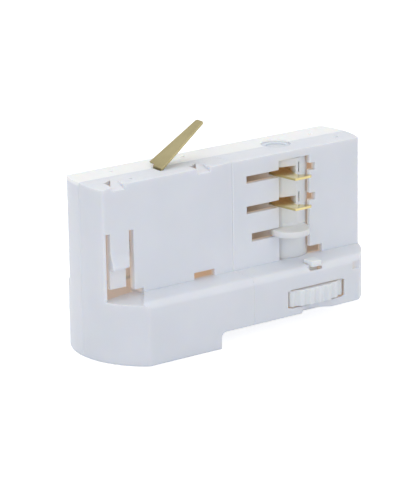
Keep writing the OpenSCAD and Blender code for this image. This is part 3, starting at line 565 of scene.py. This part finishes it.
def metal(name, light, dark, rough, stretch=EVEN):
    """Dull metal with patches of tone and fine lines along one direction."""
    material, tree, shader, coords = new_material(name)
    shader.inputs["Metallic"].default_value = 1.0
    patches = ramp(tree, noise(tree, coords, PATCH_SCALE, FINE_DETAIL), PATCH_SPREAD)
    link(tree, two_tone(tree, patches, dark, light), shader.inputs["Base Color"])
    stretched = tree.nodes.new("ShaderNodeMapping")
    stretched.inputs["Scale"].default_value = stretch
    link(tree, coords, stretched.inputs["Vector"])
    lines = noise(tree, stretched.outputs[0], LINE_SCALE)
    uneven_gloss(tree, shader, lines, rough, METAL_SWING)
    grain(tree, shader, lines, LINE_STRENGTH, LINE_DEPTH)
    return material


dull_brass = metal("stamped_brass", light=(0.385, 0.335, 0.185),
                   dark=(0.30, 0.255, 0.13), rough=0.38, stretch=ALONG_X)
blade_brass = metal("blade_brass", light=(0.90, 0.80, 0.48),
                    dark=(0.82, 0.70, 0.40), rough=0.18, stretch=ALONG_Y)
# The spring's edge is fresh brass, and its brightness is also a painted highlight.
fresh_edge_and_highlight_brass = metal("fresh_edge_and_painted_highlight_brass", light=(0.72, 0.61, 0.31),
                     dark=(0.64, 0.52, 0.25), rough=0.3)
worn_brass = metal("worn_brass_edge", light=(0.62, 0.53, 0.27),
                   dark=(0.54, 0.45, 0.21), rough=0.35)
nut_brass = metal("turned_brass", light=(0.72, 0.60, 0.33),
                  dark=(0.62, 0.50, 0.26), rough=0.3, stretch=ALONG_Z)
zinc = metal("zinc_plated_steel", light=(0.66, 0.67, 0.70),
             dark=(0.54, 0.55, 0.58), rough=0.34)
metals = (dull_brass, blade_brass, fresh_edge_and_highlight_brass, worn_brass, nut_brass, zinc)
print("metals:", [material.name for material in metals])

# %% [markdown]
# Moulded and stamped pieces never have knife edges. Rounding them in the
# solids would cost thousands of faces; a small bevel on the mesh does the same
# for the eye. Each piece is first joined, because its faces arrive apart, and
# edges that turn by more than about thirty degrees are then rounded. On brass
# the new faces take the piece's second material.

# %% Soft edges
JOIN_WITHIN = 0.001 * MM
SHARP_TURN = math.radians(32)
LARGE_FACES_LEAD = 80
FIRST_SLOT, EDGE_SLOT, SAME_SLOT = 0, 1, -1
SHELL_EDGE = (0.14 * MM, 3)
TURNED_EDGE = (0.2 * MM, 2)
STAMPED_EDGE = (0.1 * MM, 2)
STRIP_EDGE = (0.06 * MM, 1)
SMALL_EDGE = (0.08 * MM, 1)


def dress(obj, edge, material, edge_material=None):
    """Gives a piece its material and soft edges, which may have their own."""
    width, segments = edge
    slots = obj.data.materials
    slots.clear()
    slots.append(material)
    if edge_material:
        slots.append(edge_material)
    joined = obj.modifiers.new("join_faces", "WELD")
    joined.merge_threshold = JOIN_WITHIN
    bevel = obj.modifiers.new("soft_edges", "BEVEL")
    bevel.width = width
    bevel.segments = segments
    bevel.limit_method = "ANGLE"
    bevel.angle_limit = SHARP_TURN
    bevel.use_clamp_overlap = True
    bevel.harden_normals = False
    bevel.material = EDGE_SLOT if edge_material else SAME_SLOT
    for polygon in obj.data.polygons:
        polygon.use_smooth = True
    smooth = obj.modifiers.new("even_normals", "WEIGHTED_NORMAL")
    smooth.keep_sharp = False
    smooth.weight = LARGE_FACES_LEAD


print("shell edges of", round(SHELL_EDGE[0] / MM, 2), "mm")

# %% [markdown]
# Now each piece gets its finish. That could be done piece by piece; one table
# by name keeps the whole choice in view. The cut sides of the blades are not
# rubbed by the track, so their upright faces take the worn brass too. The
# bent leaf under the tab is left for the next step.

# %% Dress the pieces
BLADES = ("blade_front_upper", "blade_front_lower",
          "blade_rear_upper", "blade_rear_lower")
STRIPS = ("earth_strap", "line_strip_1", "line_strip_2", "line_strip_3",
          "neutral_strip")
UPRIGHT_BELOW = 0.5
finishes = {
    "rear_housing": (SHELL_EDGE, rear_shell),
    "front_housing": (SHELL_EDGE, white_shell),
    "wiring_cover": (SHELL_EDGE, white_shell),
    "rotor_drum": (TURNED_EDGE, rotor_white),
    "thumb_wheel": (TURNED_EDGE, wheel_white),
    "interlock_tab": (TURNED_EDGE, wheel_white),
    "earth_spring": (STAMPED_EDGE, dull_brass, fresh_edge_and_highlight_brass),
    **dict.fromkeys(BLADES, (STAMPED_EDGE, blade_brass, worn_brass)),
    **dict.fromkeys(STRIPS, (STRIP_EDGE, dull_brass)),
    "terminal_block": (SMALL_EDGE, inner_white),
    "terminal_clamps": (SMALL_EDGE, nut_brass),
    "terminal_screws": (SMALL_EDGE, zinc),
    "stem_nut": (SMALL_EDGE, nut_brass),
    "housing_screws": (SMALL_EDGE, zinc),
}
for name, finish in finishes.items():
    dress(nodes[name], *finish)
for name in BLADES:
    for polygon in nodes[name].data.polygons:
        upright_face = abs(polygon.normal.z) < UPRIGHT_BELOW
        polygon.material_index = EDGE_SLOT if upright_face else FIRST_SLOT
print("dressed", len(finishes), "nodes")

# %% [markdown]
# The bent leaf under the tab is pressed flatter when the tab goes down. A solid keeps its
# shape, so a copy of it takes its place here, attached to the housing, and the solid is
# hidden.

# %% Spring under the tab
leaf = bpy.data.objects.new("tab_leaf", nodes["tab_spring"].data.copy())
bpy.context.scene.collection.objects.link(leaf)
dress(leaf, SMALL_EDGE, zinc)
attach(leaf, "housing")
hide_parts("tab_spring")
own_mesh(leaf)
